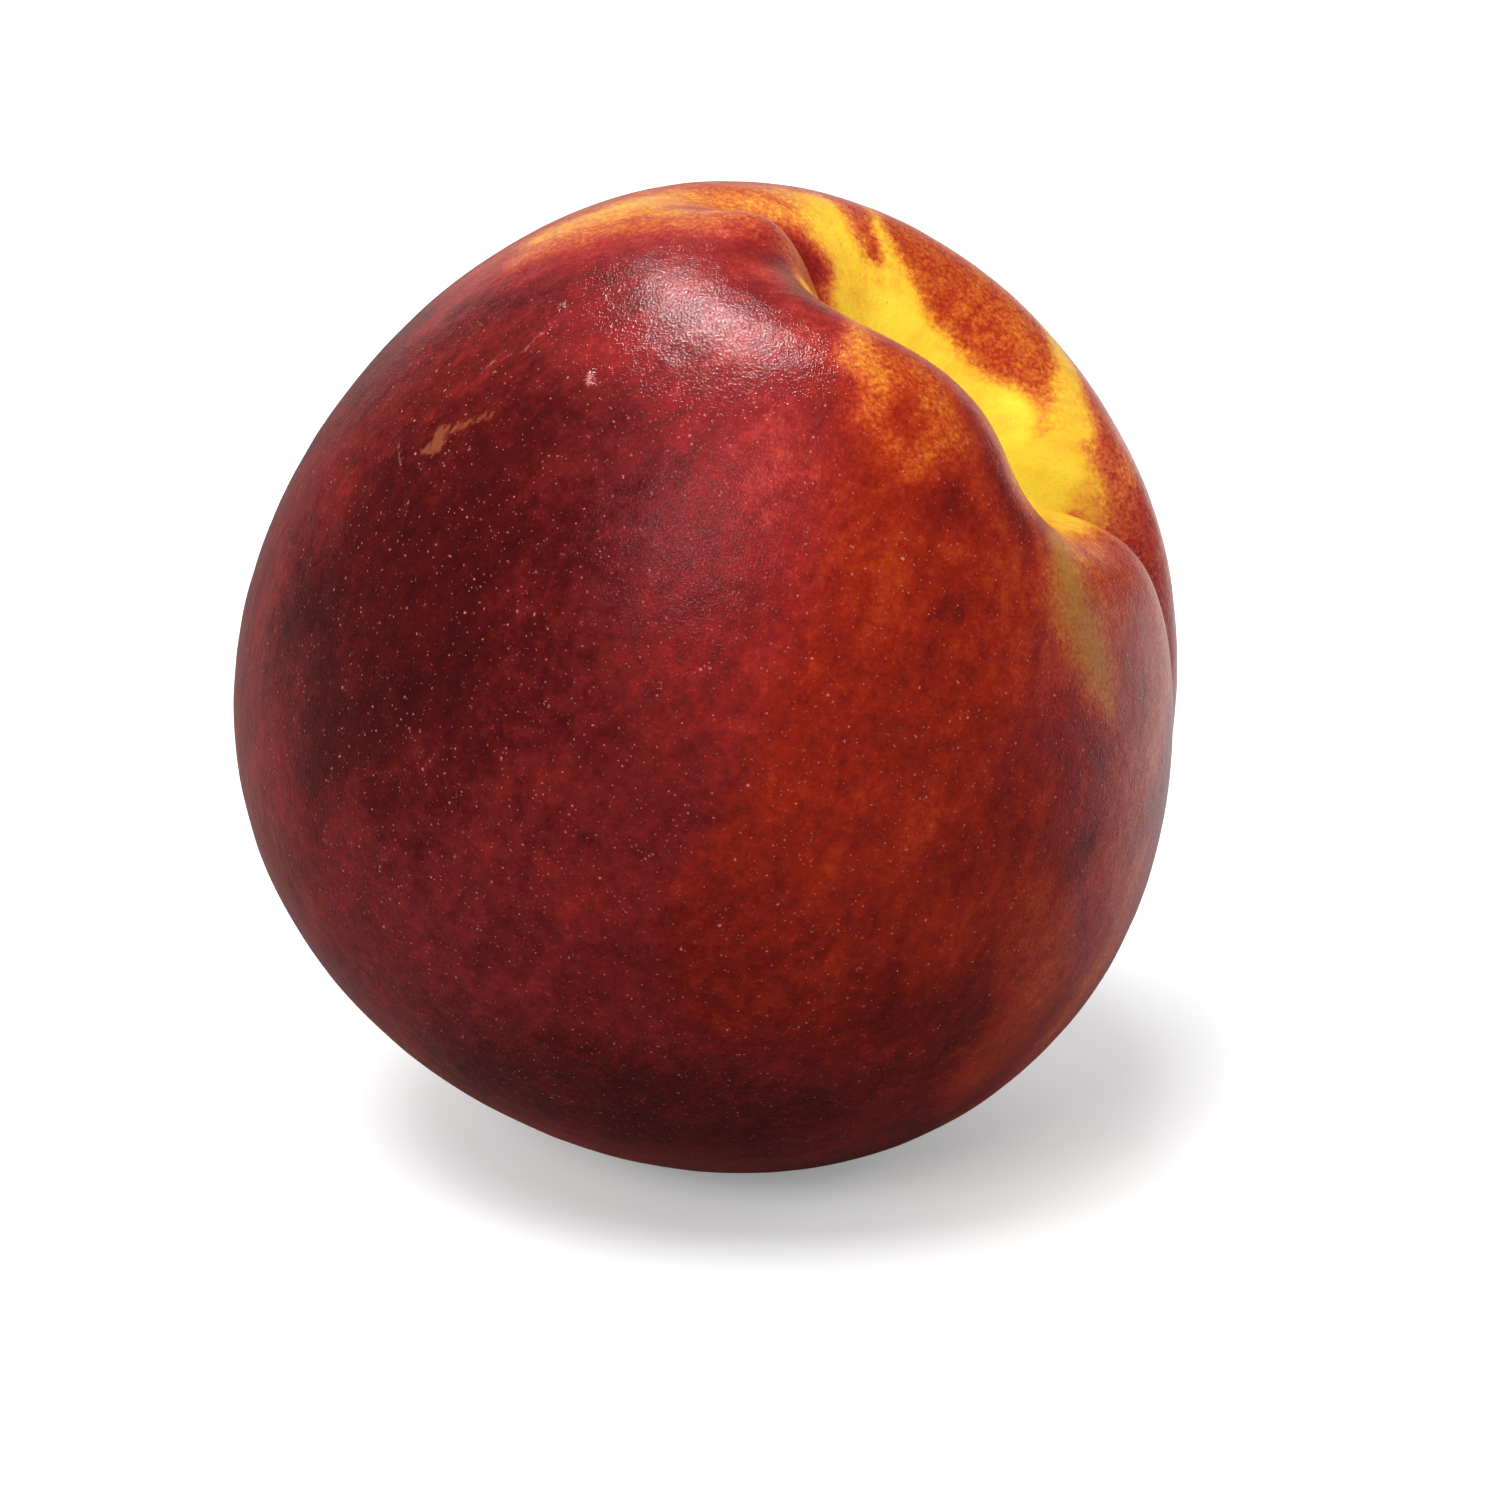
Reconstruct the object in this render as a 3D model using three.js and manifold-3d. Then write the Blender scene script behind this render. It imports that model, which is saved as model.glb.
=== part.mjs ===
// A whole ripe nectarine, lying on its cheek with the stem cavity turned up and to one side.
//
// The fruit is one star-shaped body: skinRadius() gives the distance from its middle to the skin
// in every direction. The fruit's own axes run from that middle: X toward the suture, the groove
// that runs from stem to tip, Y toward the far cheek and Z toward the stem. Directions are given
// by two angles in degrees: polar is measured from the stem, azimuth round it from the suture.
// The body is then tipped into its resting pose and trimmed by the small flat spot it lies on.

import * as THREE from 'three';
import { mergeVertices } from 'three/addons/utils/BufferGeometryUtils.js';
import Module from 'manifold-3d';

// ---- Driving dimensions, in millimetres and degrees ----

// Body: distances from the middle to the skin, before the hollows are taken off.
const HALF_SUTURE_WAY = 34.5;
const HALF_CHEEK_WAY = 35.1;
const HALF_STEM_WAY = 37;
const STEM_END_RISE = 3.9; // the stem end is this much taller, and the tip end as much shorter

// Uneven growth: how far the skin stands out between each pair of axes.
const BULGE_SUTURE_CHEEK = 0.2;
const BULGE_SUTURE_STEM = -1.5;
const BULGE_CHEEK_STEM = -3.3;
const BELLY = 0.5; // fullness of the suture side round its middle

// The stem cavity, wider along the suture than across it.
const CAVITY_DEPTH = 15;
const CAVITY_SPREAD_ALONG = 19;
const CAVITY_SPREAD_ACROSS = 13.3;
const FORMS_START = 10; // polar angle from which the forms round the cavity stand free of it

// The scar where the stem came away, at the bottom of the cavity.
const SCAR_DEPTH = 1.6;
const SCAR_SPREAD = 4.2;

// The suture: deepest between the two shoulders of the cavity, faint toward the tip.
const SUTURE_WIDTH = 3;
const SUTURE_START = 14; // polar angle from which the groove stands free of the cavity
const SUTURE_DEPTH = 2.4;
const SUTURE_TIP_DEPTH = 0.8;
const SUTURE_FADE_POLAR = 88;
const SUTURE_FADE_SPREAD = 8;
const SUTURE_SHOULDER_DEPTH = 2.4;
const SUTURE_SHOULDER_POLAR = 28;
const SUTURE_SHOULDER_SPREAD = 12;
const SUTURE_ROUND_OFF = 0.06; // how softly the groove ends at the two poles, as a sine

// Hills and hollows round the cavity. A hollow has a negative height.
const CAVITY_FORMS = [
  { name: 'valley beside the suture', height: -4.9, azimuth: -34, width: 27.7, polar: 21.7, span: 7.9 },
  { name: 'notch behind the stem', height: -2.5, azimuth: 170, width: 9, polar: 21, span: 9 },
  { name: 'lobe behind the stem', height: 2.4, azimuth: 181, width: 18, polar: 22, span: 6.2 },
  { name: 'near shoulder', height: 1.6, azimuth: -96.5, width: 33, polar: 22, span: 12.9 },
];

// The tip: a shallow dimple with the small nub left by the flower.
const TIP_DIMPLE_DEPTH = 1.8;
const TIP_DIMPLE_SPREAD = 12;
const TIP_NUB_HEIGHT = 1.5;
const TIP_NUB_SPREAD = 3.6;

// Resting pose: the stem leans over, and the flat spot is pressed into the cheek underneath.
const STEM_LEAN = 32.5; // from upright
const STEM_LEAN_TOWARD = -23.4; // compass direction of the lean, from +X
const TURN_ABOUT_STEM = 17;
const FLAT_SPOT_DEPTH = 0.55;

// Facets: closer together round the stem and along the suture, where the forms are smallest.
const COLUMNS = 80;
const ROWS = 48;
const CROWD_SUTURE = 0.45;
const CROWD_STEM = 0.3;

const SKIN_COLOUR = '#7c1a22';

// ---- The shape ----

/** A smooth bump of height 1 at 0, which has faded to 0.37 at the given spread. */
const bump = (distance, spread) => Math.exp(-((distance / spread) ** 2));

/** The difference of two angles in degrees, from -180 to 180. */
const turnBetween = (a, b) => THREE.MathUtils.euclideanModulo(a - b + 180, 360) - 180;

/** Distance from the middle to the skin of the plain lopsided body, along a unit direction. */
function bodyRadius({ x, y, z }) {
  const stemWay = HALF_STEM_WAY + STEM_END_RISE * z;
  const ellipsoid = 1 / Math.hypot(x / HALF_SUTURE_WAY, y / HALF_CHEEK_WAY, z / stemWay);
  return ellipsoid
    + BULGE_SUTURE_CHEEK * x * y
    + BULGE_SUTURE_STEM * x * z
    + BULGE_CHEEK_STEM * y * z
    + BELLY * x * (1 - 5 * z * z);
}

/** Depth of the suture groove where the body's radius is known. */
function sutureDepth(radius, direction, polar) {
  const beside = radius * direction.y; // distance from the plane of the suture
  const onSutureSide = 1 / (1 + Math.exp(-direction.x / SUTURE_ROUND_OFF));
  const fading = 1 / (1 + Math.exp((polar - SUTURE_FADE_POLAR) / SUTURE_FADE_SPREAD));
  const depth = SUTURE_TIP_DEPTH
    + (SUTURE_DEPTH - SUTURE_TIP_DEPTH) * fading
    + SUTURE_SHOULDER_DEPTH * bump(polar - SUTURE_SHOULDER_POLAR, SUTURE_SHOULDER_SPREAD);
  const clearOfStem = 1 - bump(polar, SUTURE_START);
  return depth * onSutureSide * clearOfStem * bump(beside, SUTURE_WIDTH);
}

/** Distance from the middle to the skin along a unit direction in the fruit's own axes. */
function skinRadius(direction) {
  const body = bodyRadius(direction);
  const polar = THREE.MathUtils.radToDeg(Math.acos(THREE.MathUtils.clamp(direction.z, -1, 1)));
  const azimuth = Math.atan2(direction.y, direction.x);
  const along = polar * Math.cos(azimuth);
  const across = polar * Math.sin(azimuth);
  const cavity = CAVITY_DEPTH
    * bump(Math.hypot(along / CAVITY_SPREAD_ALONG, across / CAVITY_SPREAD_ACROSS), 1);
  const scar = SCAR_DEPTH * bump(polar, SCAR_SPREAD);

  const clearOfStem = 1 - bump(polar, FORMS_START);
  let forms = 0;
  for (const form of CAVITY_FORMS) {
    const aside = turnBetween(THREE.MathUtils.radToDeg(azimuth), form.azimuth);
    forms += form.height * bump(aside, form.width) * bump(polar - form.polar, form.span);
  }

  const tip = TIP_NUB_HEIGHT * bump(180 - polar, TIP_NUB_SPREAD)
    - TIP_DIMPLE_DEPTH * bump(180 - polar, TIP_DIMPLE_SPREAD);
  return body - cavity - scar + clearOfStem * forms - sutureDepth(body, direction, polar) + tip;
}

/** The facets of the skin, in the fruit's own axes, as one closed surface. */
function skinGeometry() {
  const geometry = new THREE.SphereGeometry(1, COLUMNS, ROWS);
  geometry.rotateX(Math.PI / 2);
  const points = geometry.attributes.position;
  const point = new THREE.Vector3();
  for (let i = 0; i < points.count; i++) {
    point.fromBufferAttribute(points, i);
    const evenPolar = Math.acos(THREE.MathUtils.clamp(point.z, -1, 1));
    const evenAzimuth = Math.atan2(point.y, point.x);
    const polar = evenPolar - CROWD_STEM * Math.sin(evenPolar);
    const azimuth = evenAzimuth - CROWD_SUTURE * Math.sin(evenAzimuth);
    point.set(Math.sin(polar) * Math.cos(azimuth), Math.sin(polar) * Math.sin(azimuth), Math.cos(polar));
    point.multiplyScalar(skinRadius(point));
    points.setXYZ(i, point.x, point.y, point.z);
  }
  return geometry;
}

/** The turn from the fruit's own axes to its resting pose, with +Z up. */
function restingTurn() {
  return new THREE.Matrix4()
    .makeRotationZ(THREE.MathUtils.degToRad(STEM_LEAN_TOWARD))
    .multiply(new THREE.Matrix4().makeRotationY(THREE.MathUtils.degToRad(STEM_LEAN)))
    .multiply(new THREE.Matrix4().makeRotationZ(THREE.MathUtils.degToRad(TURN_ABOUT_STEM)));
}

// ---- Cutting ----

const wasm = await Module();
wasm.setup();

/** A closed three.js geometry as a solid that can be cut. */
function toSolid(geometry) {
  const bare = geometry.clone();
  bare.deleteAttribute('normal');
  bare.deleteAttribute('uv');
  const merged = mergeVertices(bare);
  return new wasm.Manifold(new wasm.Mesh({
    numProp: 3,
    vertProperties: new Float32Array(merged.attributes.position.array),
    triVerts: new Uint32Array(merged.index.array),
  }));
}

/** A solid as a three.js geometry. */
function toGeometry(solid) {
  const mesh = solid.getMesh();
  const geometry = new THREE.BufferGeometry();
  geometry.setAttribute('position', new THREE.BufferAttribute(mesh.vertProperties, 3));
  geometry.setIndex(new THREE.BufferAttribute(mesh.triVerts, 1));
  geometry.computeVertexNormals();
  return geometry;
}

/** The skin in its resting pose, trimmed by the flat spot and stood on z = 0 about the origin. */
function restingFruit() {
  const skin = skinGeometry().applyMatrix4(restingTurn());
  skin.computeBoundingBox();
  const surfaceHeight = skin.boundingBox.min.z + FLAT_SPOT_DEPTH;

  const blockSize = 2 * HALF_STEM_WAY;
  const block = new THREE.BoxGeometry(blockSize, blockSize, blockSize);
  block.translate(0, 0, surfaceHeight - blockSize / 2);

  const fruit = toGeometry(toSolid(skin).subtract(toSolid(block)));
  fruit.computeBoundingBox();
  const middle = fruit.boundingBox.getCenter(new THREE.Vector3());
  fruit.translate(-middle.x, -middle.y, -fruit.boundingBox.min.z);
  return fruit;
}

const nectarine = new THREE.Mesh(
  restingFruit(),
  new THREE.MeshStandardMaterial({ color: SKIN_COLOUR, roughness: 0.42, metalness: 0 }),
);
nectarine.name = 'nectarine';

const fruitGroup = new THREE.Group();
fruitGroup.add(nectarine);

export default fruitGroup;
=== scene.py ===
"""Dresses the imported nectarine: its fine skin, its colouring and a small studio to see it in.

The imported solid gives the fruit's place and size. The skin here is the same form, worked out from
the same sizes, with many more faces, so it replaces the solid in the render. Lengths in the classes
are in millimetres and angles in degrees; meshes, lights and camera are placed in metres.
"""

from __future__ import annotations

import logging
from dataclasses import dataclass, field
from enum import Enum

import bpy
import numpy as np
from mathutils import Matrix, Vector, noise


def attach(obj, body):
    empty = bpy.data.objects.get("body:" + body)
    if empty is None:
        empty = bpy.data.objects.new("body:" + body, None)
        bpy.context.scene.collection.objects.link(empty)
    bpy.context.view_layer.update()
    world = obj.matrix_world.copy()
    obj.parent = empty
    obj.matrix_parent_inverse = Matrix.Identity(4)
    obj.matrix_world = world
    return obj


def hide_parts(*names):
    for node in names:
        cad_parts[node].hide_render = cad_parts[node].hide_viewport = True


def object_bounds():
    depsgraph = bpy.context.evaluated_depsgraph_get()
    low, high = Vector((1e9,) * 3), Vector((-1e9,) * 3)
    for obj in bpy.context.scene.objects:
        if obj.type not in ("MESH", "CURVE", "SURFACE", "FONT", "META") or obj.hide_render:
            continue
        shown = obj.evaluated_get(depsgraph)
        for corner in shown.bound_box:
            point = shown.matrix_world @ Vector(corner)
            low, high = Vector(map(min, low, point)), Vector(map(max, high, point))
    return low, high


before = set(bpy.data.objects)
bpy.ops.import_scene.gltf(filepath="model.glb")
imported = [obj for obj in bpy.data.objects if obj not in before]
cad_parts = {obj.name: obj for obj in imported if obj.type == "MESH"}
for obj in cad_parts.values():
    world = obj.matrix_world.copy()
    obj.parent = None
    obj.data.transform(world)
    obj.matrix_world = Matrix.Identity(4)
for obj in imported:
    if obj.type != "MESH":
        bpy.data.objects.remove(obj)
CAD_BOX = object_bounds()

LOG = logging.getLogger("nectarine")
MM = 0.001  # one millimetre in metres
TINY = 1e-9  # keeps a division clear of zero
NODE = "nectarine"
BODY = "root"
PEEL = "peel"  # the attribute with places on the skin, measured round and along the fruit in mm
NOISE_SEED = 7

Tree = bpy.types.NodeTree
Node = bpy.types.Node
Socket = bpy.types.NodeSocket
Span = tuple[float, float, float, float]  # runs from the first value to the second, giving the last two


# ---- Small tools ----


def linear(hex_colour: str) -> tuple[float, float, float, float]:
    """Turns an sRGB hex colour into the linear colour that shaders take.

    Args:
        hex_colour: the colour as "#rrggbb".

    Returns:
        Linear red, green and blue, with alpha 1.
    """
    parts = [int(hex_colour[i : i + 2], 16) / 255 for i in (1, 3, 5)]
    # The sRGB curve: a straight foot, then a power.
    red, green, blue = (c / 12.92 if c <= 0.04045 else ((c + 0.055) / 1.055) ** 2.4 for c in parts)
    return (red, green, blue, 1.0)


def bump(distance: np.ndarray, spread: float) -> np.ndarray:
    """A smooth bump of height 1 at 0, which has faded to 0.37 at the given spread."""
    return np.exp(-((distance / spread) ** 2))


def smooth_step(value: np.ndarray, low: float, high: float) -> np.ndarray:
    """Rises smoothly from 0 at low to 1 at high."""
    t = np.clip((value - low) / (high - low), 0, 1)
    return t * t * (3 - 2 * t)


def soft_noise(places: np.ndarray, size: float) -> np.ndarray:
    """Smooth noise at each place, as three values from about -1 to 1, with blobs of the given size."""
    noise.seed_set(NOISE_SEED)  # unseeded, it follows the clock
    return np.array([noise.noise_vector(Vector(place)) for place in places / size])


def turn_between(a: np.ndarray, b: float) -> np.ndarray:
    """The difference of two angles in degrees, from -180 to 180."""
    return (a - b + 180) % 360 - 180


# ---- The form ----


@dataclass(frozen=True)
class Form:
    """A hill or hollow beside the stem cavity.

    Attributes:
        height: how far it lifts the skin, in millimetres; negative for a hollow.
        azimuth: where its middle is, in degrees round the stem from the suture.
        width: how far it spreads round the stem, in degrees.
        polar: where its middle is, in degrees from the stem.
        span: how far it spreads along, in degrees.
    """

    height: float
    azimuth: float
    width: float
    polar: float
    span: float

    def rise(self, polar: np.ndarray, azimuth: np.ndarray) -> np.ndarray:
        """How far this form lifts the skin at each direction."""
        aside = turn_between(azimuth, self.azimuth)
        return self.height * bump(aside, self.width) * bump(polar - self.polar, self.span)


@dataclass(frozen=True)
class Directions:
    """Unit directions from the middle of the fruit in its own axes.

    X points to the suture, Y to the far cheek and Z to the stem. Polar is measured from the stem
    and azimuth round it from the suture.
    """

    unit: np.ndarray

    @property
    def polar(self) -> np.ndarray:
        """Degrees from the stem."""
        return np.degrees(np.arccos(np.clip(self.unit[:, 2], -1, 1)))

    @property
    def azimuth(self) -> np.ndarray:
        """Degrees round the stem from the suture."""
        return np.degrees(np.arctan2(self.unit[:, 1], self.unit[:, 0]))

    @property
    def chart(self) -> np.ndarray:
        """A flat map round the stem, in degrees: the suture runs along +X from its middle."""
        turn = np.radians(self.azimuth)
        return np.stack([self.polar * np.cos(turn), self.polar * np.sin(turn)], axis=1)


@dataclass
class FruitShape:
    """The nectarine's form: the distance from its middle to the skin in every direction.

    Depths, heights, widths and half sizes are in millimetres. Starts, spreads and polar places are
    in degrees from the stem or the tip.
    """

    half_suture_way: float = 34.5
    half_cheek_way: float = 35.1
    half_stem_way: float = 37.0
    stem_end_rise: float = 3.9
    bulge_suture_cheek: float = 0.2
    bulge_suture_stem: float = -1.5
    bulge_cheek_stem: float = -3.3
    belly: float = 0.5
    belly_narrowing: float = 5.0  # how soon the belly turns hollow away from the fruit's middle
    cavity_depth: float = 15.0
    cavity_spread_along: float = 19.0
    cavity_spread_across: float = 13.3
    forms_start: float = 10.0
    scar_depth: float = 1.6
    scar_spread: float = 4.2
    suture_width: float = 3.0
    suture_start: float = 14.0
    suture_depth: float = 2.4
    suture_tip_depth: float = 0.8
    suture_fade_polar: float = 88.0
    suture_fade_spread: float = 8.0
    suture_shoulder_depth: float = 2.4
    suture_shoulder_polar: float = 28.0
    suture_shoulder_spread: float = 12.0
    suture_round_off: float = 0.06  # how softly the groove ends at both poles, as a sine
    tip_dimple_depth: float = 1.8
    tip_dimple_spread: float = 12.0
    tip_nub_height: float = 1.5
    tip_nub_spread: float = 3.6
    cavity_forms: tuple[Form, ...] = (
        Form(height=-4.9, azimuth=-34, width=27.7, polar=21.7, span=7.9),  # valley by the suture
        Form(height=-2.5, azimuth=170, width=9, polar=21, span=9),  # notch behind the stem
        Form(height=2.4, azimuth=181, width=18, polar=22, span=6.2),  # lobe behind the stem
        Form(height=1.6, azimuth=-96.5, width=33, polar=22, span=12.9),  # near shoulder
    )

    def body_radius(self, at: Directions) -> np.ndarray:
        """Distance to the skin of the plain lopsided body.

        Args:
            at: the directions to measure along.

        Returns:
            One distance for each direction.
        """
        x, y, z = at.unit.T
        stem_way = self.half_stem_way + self.stem_end_rise * z
        ellipsoid = 1 / np.sqrt(
            (x / self.half_suture_way) ** 2 + (y / self.half_cheek_way) ** 2 + (z / stem_way) ** 2
        )
        bulges = (
            self.bulge_suture_cheek * x * y
            + self.bulge_suture_stem * x * z
            + self.bulge_cheek_stem * y * z
            + self.belly * x * (1 - self.belly_narrowing * z * z)
        )
        return ellipsoid + bulges

    def groove(self, at: Directions, body: np.ndarray) -> np.ndarray:
        """Depth of the suture groove.

        Args:
            at: the directions to measure along.
            body: distance to the plain body's skin along each.

        Returns:
            One depth for each direction.
        """
        polar = at.polar
        on_suture_side = 1 / (1 + np.exp(-at.unit[:, 0] / self.suture_round_off))
        fading = 1 / (1 + np.exp((polar - self.suture_fade_polar) / self.suture_fade_spread))
        depth = (
            self.suture_tip_depth
            + (self.suture_depth - self.suture_tip_depth) * fading
            + self.suture_shoulder_depth
            * bump(polar - self.suture_shoulder_polar, self.suture_shoulder_spread)
        )
        clear_of_stem = 1 - bump(polar, self.suture_start)
        return depth * on_suture_side * clear_of_stem * bump(body * at.unit[:, 1], self.suture_width)

    def skin_radius(self, at: Directions) -> np.ndarray:
        """Distance from the middle to the skin.

        Args:
            at: the directions to measure along.

        Returns:
            One distance for each direction.
        """
        body = self.body_radius(at)
        polar, azimuth = at.polar, at.azimuth
        turn = np.radians(azimuth)
        along = polar * np.cos(turn) / self.cavity_spread_along
        across = polar * np.sin(turn) / self.cavity_spread_across
        cavity = self.cavity_depth * np.exp(-(along**2 + across**2))
        scar = self.scar_depth * bump(polar, self.scar_spread)
        clear_of_stem = 1 - bump(polar, self.forms_start)
        forms = sum(form.rise(polar, azimuth) for form in self.cavity_forms)
        from_tip = 180 - polar
        tip = self.tip_nub_height * bump(from_tip, self.tip_nub_spread)
        tip = tip - self.tip_dimple_depth * bump(from_tip, self.tip_dimple_spread)
        return body - cavity - scar + clear_of_stem * forms - self.groove(at, body) + tip


@dataclass
class RestingPose:
    """How the fruit lies: the lean of its stem and the flat spot pressed into its cheek.

    Angles are in degrees and the flat spot's sizes in millimetres.
    """

    stem_lean: float = 32.5
    lean_toward: float = -23.4  # round from the right; negative is toward the front
    turn_about_stem: float = 17.0
    flat_spot_depth: float = 0.55
    flat_spot_edge: float = 0.12  # how softly the skin meets the surface

    def turn(self) -> np.ndarray:
        """Finds the turn that lays the fruit down.

        Returns:
            The rotation from the fruit's own axes to the resting pose.
        """
        toward = Matrix.Rotation(np.radians(self.lean_toward), 3, "Z")
        lean = Matrix.Rotation(np.radians(self.stem_lean), 3, "Y")
        about = Matrix.Rotation(np.radians(self.turn_about_stem), 3, "Z")
        return np.array(toward @ lean @ about)

    def press_flat(self, points: np.ndarray) -> tuple[np.ndarray, float]:
        """Presses the lowest skin flat.

        Args:
            points: the skin in its resting pose, in millimetres.

        Returns:
            The pressed points, standing on z = 0, and how far they were lifted.
        """
        lift = -(points[:, 2].min() + self.flat_spot_depth)
        height = points[:, 2] + lift
        edge = self.flat_spot_edge
        pressed = points.copy()
        pressed[:, 2] = np.where(
            height > edge, height, np.where(height < -edge, 0, (height + edge) ** 2 / (4 * edge))
        )
        return pressed, lift


# ---- The colouring ----


class Field(Enum):
    """What a stroke of colouring changes on the skin."""

    BLUSH = "blush"  # 0 is bare yellow skin, 0.7 is plain red and 1 a blackish maroon
    # The purple lean is partly the red's own hue and partly painted sheen.
    COOL = "cool"  # 0 is a red that leans to orange and 1 a red that leans to purple
    OLIVE = "olive"  # how green the bare skin is
    RUSSET = "russet"  # dry corky patches
    CREASE = "crease"  # fine healed creases, which stand a little proud
    # The pale flecks laid on the creases are partly painted glints.
    PORES = "pores"  # how many pores show


@dataclass(frozen=True)
class Stroke:
    """A soft stroke of colouring, laid on the flat map round the stem.

    Attributes:
        value: what it changes its field to.
        path: (x, y, half width) on the map at each bend, in degrees.
        soft: how wide its soft edge is, in degrees.
        strength: how much of the old value it covers, up to 1.
        field: what the stroke changes.
    """

    value: float
    path: tuple[tuple[float, float, float], ...]
    soft: float = 3.0
    strength: float = 1.0
    field: Field = Field.BLUSH

    def cover(self, chart: np.ndarray) -> np.ndarray:
        """Works out how much this stroke covers.

        Args:
            chart: places on the flat map.

        Returns:
            The cover at each place, from 0 to the stroke's strength.
        """
        nearest = np.full(len(chart), np.inf)
        bends = [(np.array(bend[:2], float), bend[2]) for bend in self.path]
        for (start, start_width), (end, end_width) in zip(bends, bends[1:] or bends):
            run = end - start
            t = np.clip((chart - start) @ run / max(float(run @ run), TINY), 0, 1)
            away = np.linalg.norm(chart - start - t[:, None] * run, axis=1)
            nearest = np.minimum(nearest, away - (start_width + (end_width - start_width) * t))
        return self.strength * (1 - smooth_step(nearest, -self.soft / 2, self.soft / 2))


@dataclass
class Colouring:
    """Where the skin is yellow, red, olive or scarred, as smooth fields on the skin.

    Attributes:
        strokes: the strokes, in the order they are laid.
        start: the value of each field before them.
        waver: how far the edges of the strokes wander, in degrees.
        waver_length: how long each wandering is, in degrees.
    """

    strokes: tuple[Stroke, ...] = ()
    start: dict[Field, float] = field(
        default_factory=lambda: {
            Field.BLUSH: 0.86,
            Field.COOL: 0.6,
            Field.OLIVE: 0.0,
            Field.RUSSET: 0.0,
            Field.CREASE: 0.0,
            Field.PORES: 0.8,
        }
    )
    waver: float = 0.6
    waver_length: float = 5.0

    def fields(self, at: Directions) -> dict[Field, np.ndarray]:
        """Lays every stroke in turn.

        Args:
            at: the directions of the skin's points.

        Returns:
            The value of each field at each point.
        """
        chart = at.chart + self.waver * soft_noise(at.unit * np.degrees(1), self.waver_length)[:, :2]
        values = {name: np.full(len(chart), level) for name, level in self.start.items()}
        for stroke in self.strokes:
            cover = stroke.cover(chart)
            old = values[stroke.field]
            values[stroke.field] = old + (stroke.value - old) * cover
        return values


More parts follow.
